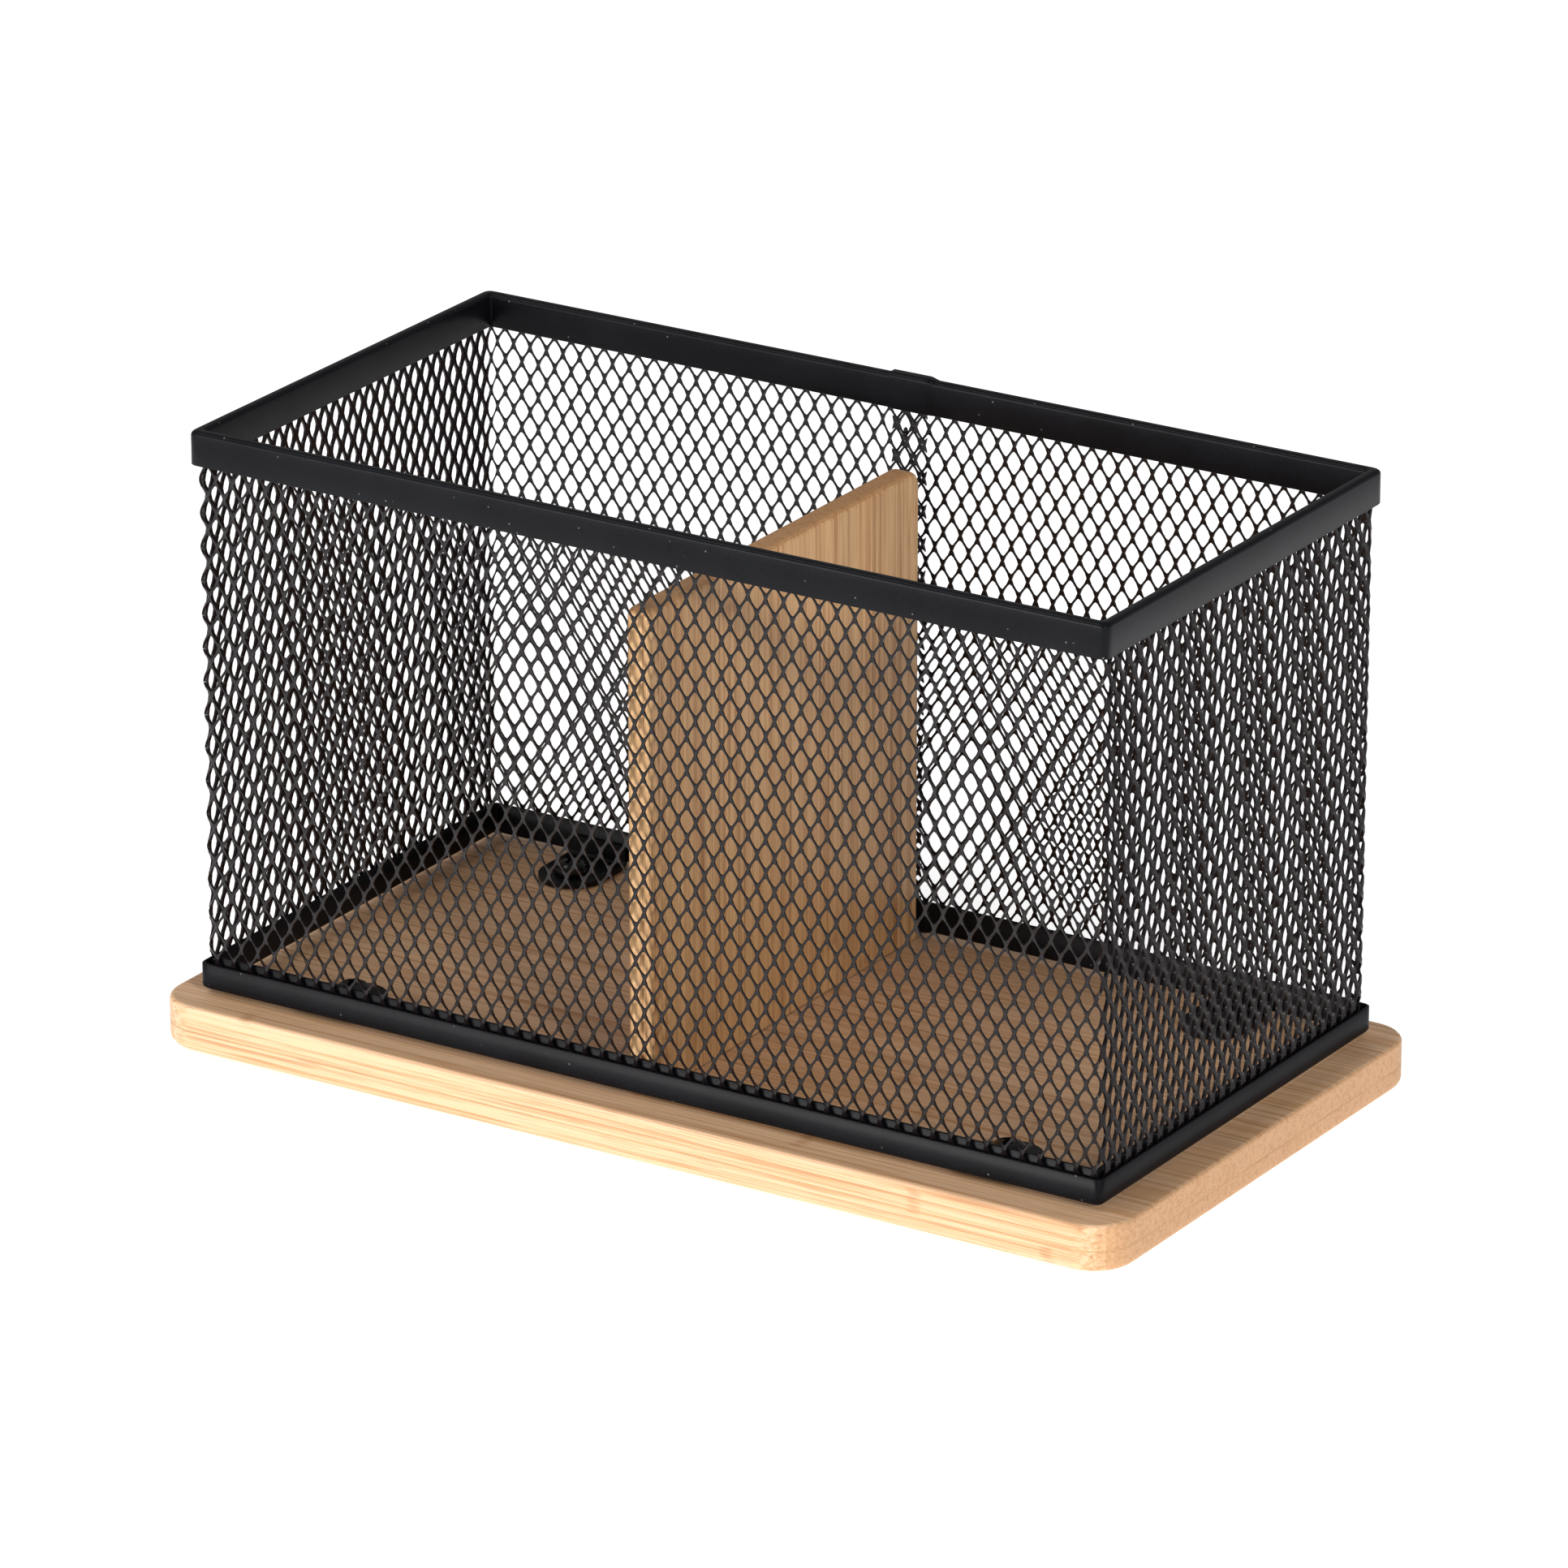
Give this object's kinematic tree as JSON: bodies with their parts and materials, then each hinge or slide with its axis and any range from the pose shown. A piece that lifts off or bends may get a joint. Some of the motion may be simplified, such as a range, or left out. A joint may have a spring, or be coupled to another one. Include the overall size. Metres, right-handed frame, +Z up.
{
  "type": "desk organizer",
  "caption": "Open rectangular desk organizer: a black expanded-metal basket with folded steel edges, screwed by lugs to a bamboo base, with an upright bamboo divider across it.",
  "frame": {"origin": "centre of the base's outline, at the level of the surface that the pads stand on", "axes": "+X along the long side, left to right seen from the front; +Y from the front to the back wall, where the sheet's lap is; +Z up"},
  "size_m": [0.2244, 0.1208, 0.1317],
  "materials": {
    "bamboo_base": "clear satin lacquer on two-ply bamboo, long fine grain along X",
    "bamboo_divider": "clear satin lacquer on bamboo, fine grain along Z, speckled end grain on the top edge",
    "mesh_coat": "satin black powder coat on expanded metal",
    "powder_coat": "satin black powder coat with a fine grain, on folded sheet",
    "black_screw": "glossy black oxide",
    "zinc_screw": "bright zinc",
    "pad_rubber": "matt foam rubber"
  },
  "bodies": {
    "root": {"base_lower_ply": "bamboo_base", "base_upper_ply": "bamboo_base", "divider_panel": "bamboo_divider", "mesh_wrap": "mesh_coat", "rim_channel": "powder_coat", "foot_channel": "powder_coat", "lug_front_left": "powder_coat", "lug_front_right": "powder_coat", "lug_back_left": "powder_coat", "lug_back_right": "powder_coat", "lug_screw_front_left": "black_screw", "lug_screw_front_right": "black_screw", "lug_screw_back_left": "black_screw", "lug_screw_back_right": "black_screw", "divider_screw_front": "zinc_screw", "divider_screw_back": "zinc_screw", "foot_pad_front_left": "pad_rubber", "foot_pad_front_right": "pad_rubber", "foot_pad_back_left": "pad_rubber", "foot_pad_back_right": "pad_rubber"}
  },
  "joints": []
}
